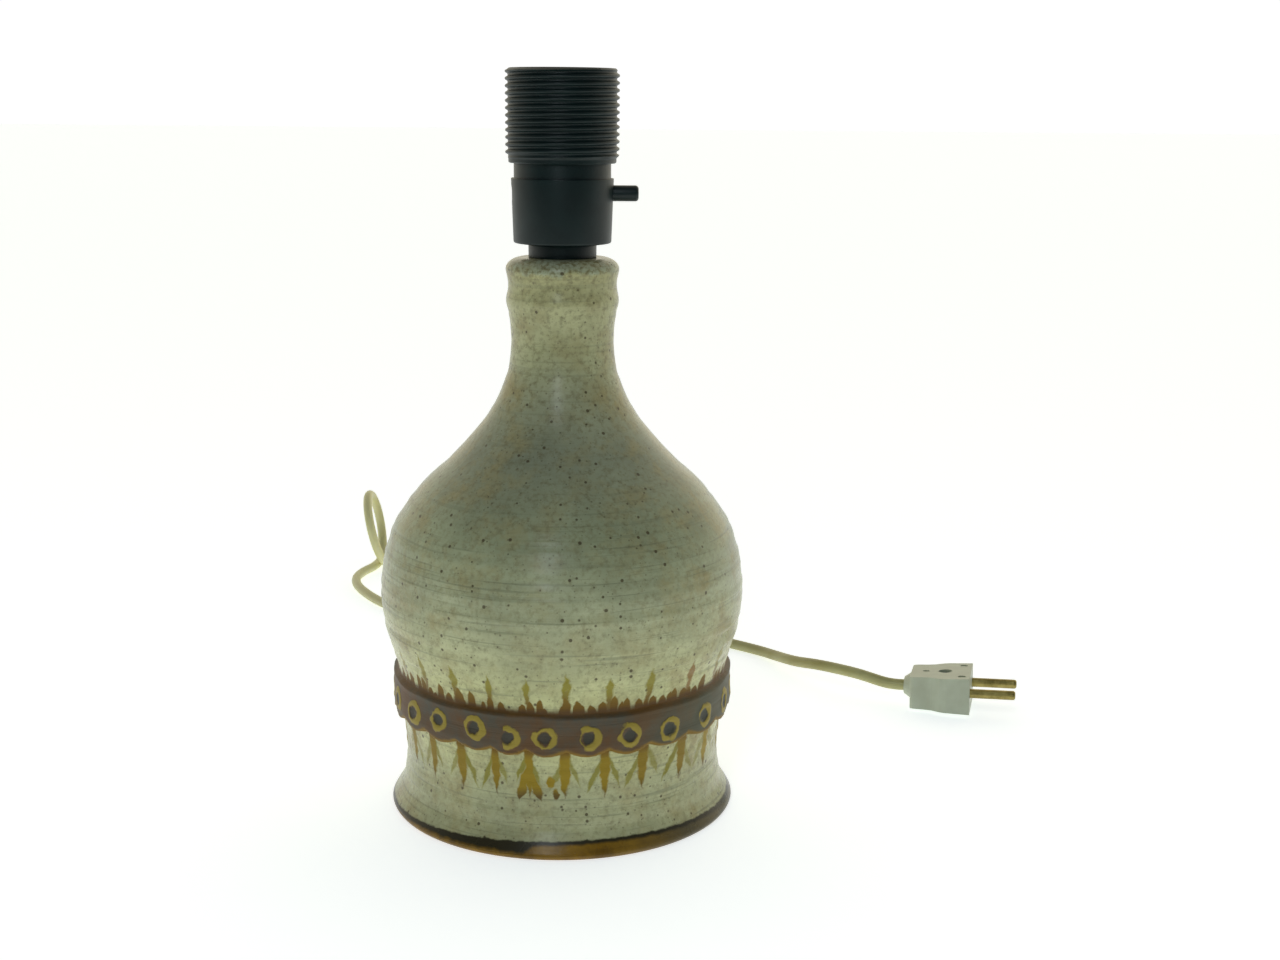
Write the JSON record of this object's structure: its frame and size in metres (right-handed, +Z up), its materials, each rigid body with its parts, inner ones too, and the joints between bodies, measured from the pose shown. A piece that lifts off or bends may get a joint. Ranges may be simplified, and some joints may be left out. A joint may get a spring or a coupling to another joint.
{
  "type": "table lamp",
  "caption": "Round-bellied stoneware table lamp base with a raised band, a threaded lamp holder with a push-rod switch, and a flex with a two-pin plug.",
  "frame": {"origin": "on the table under the centre of the foot, where the lamp's axis meets the foot's plane", "axes": "+Z up along the lamp's axis, +X the way the switch rod sticks out, +Y to the back where the flex leaves the foot"},
  "size_m": [0.3113, 0.4609, 0.2667],
  "materials": {
    "glazed_stoneware": "glazed stoneware, satin to glossy",
    "steel": "zinc-plated steel",
    "brass": "plain brass",
    "black_thermoplastic": "black moulded plastic, satin",
    "brown_phenolic": "brown moulded phenolic",
    "flex_pvc": "translucent yellowed PVC",
    "live_pvc": "brown PVC insulation",
    "neutral_pvc": "blue PVC insulation",
    "tie_plastic": "pale plastic strap",
    "plug_plastic": "white moulded plastic"
  },
  "bodies": {
    "lamp": {"stoneware_body": "glazed_stoneware", "nipple_washer": "steel", "nipple_nut": "brass", "threaded_nipple": "steel", "holder_collar": "black_thermoplastic", "holder_cap": "black_thermoplastic", "nipple_lock_screw": "steel", "threaded_barrel": "black_thermoplastic", "contact_block": "brown_phenolic", "lamp_screw_shell": "brass", "centre_contact": "brass", "terminal_live": "brass", "terminal_screw_live": "steel", "terminal_neutral": "brass", "terminal_screw_neutral": "steel", "detent_leaf": "steel", "cord_bushing": "black_thermoplastic", "inner_cord": "flex_pvc", "core_live": "live_pvc", "core_neutral": "neutral_pvc", "cord_from_foot": "flex_pvc", "cord_upright_turn": "flex_pvc", "cord_coil": "flex_pvc", "cord_to_plug": "flex_pvc", "coil_tie": "tie_plastic", "plug_base": "plug_plastic", "plug_cover": "plug_plastic", "plug_screw": "steel", "plug_pin_far": "brass", "plug_pin_near": "brass"},
    "switch": {"switch_rod": "black_thermoplastic", "contact_bridge": "brass"}
  },
  "joints": [
    {"name": "switch_push", "type": "slide", "parent": "lamp", "child": "switch", "axis": [1, 0, 0], "range_m": [-0.0075, 0]}
  ]
}
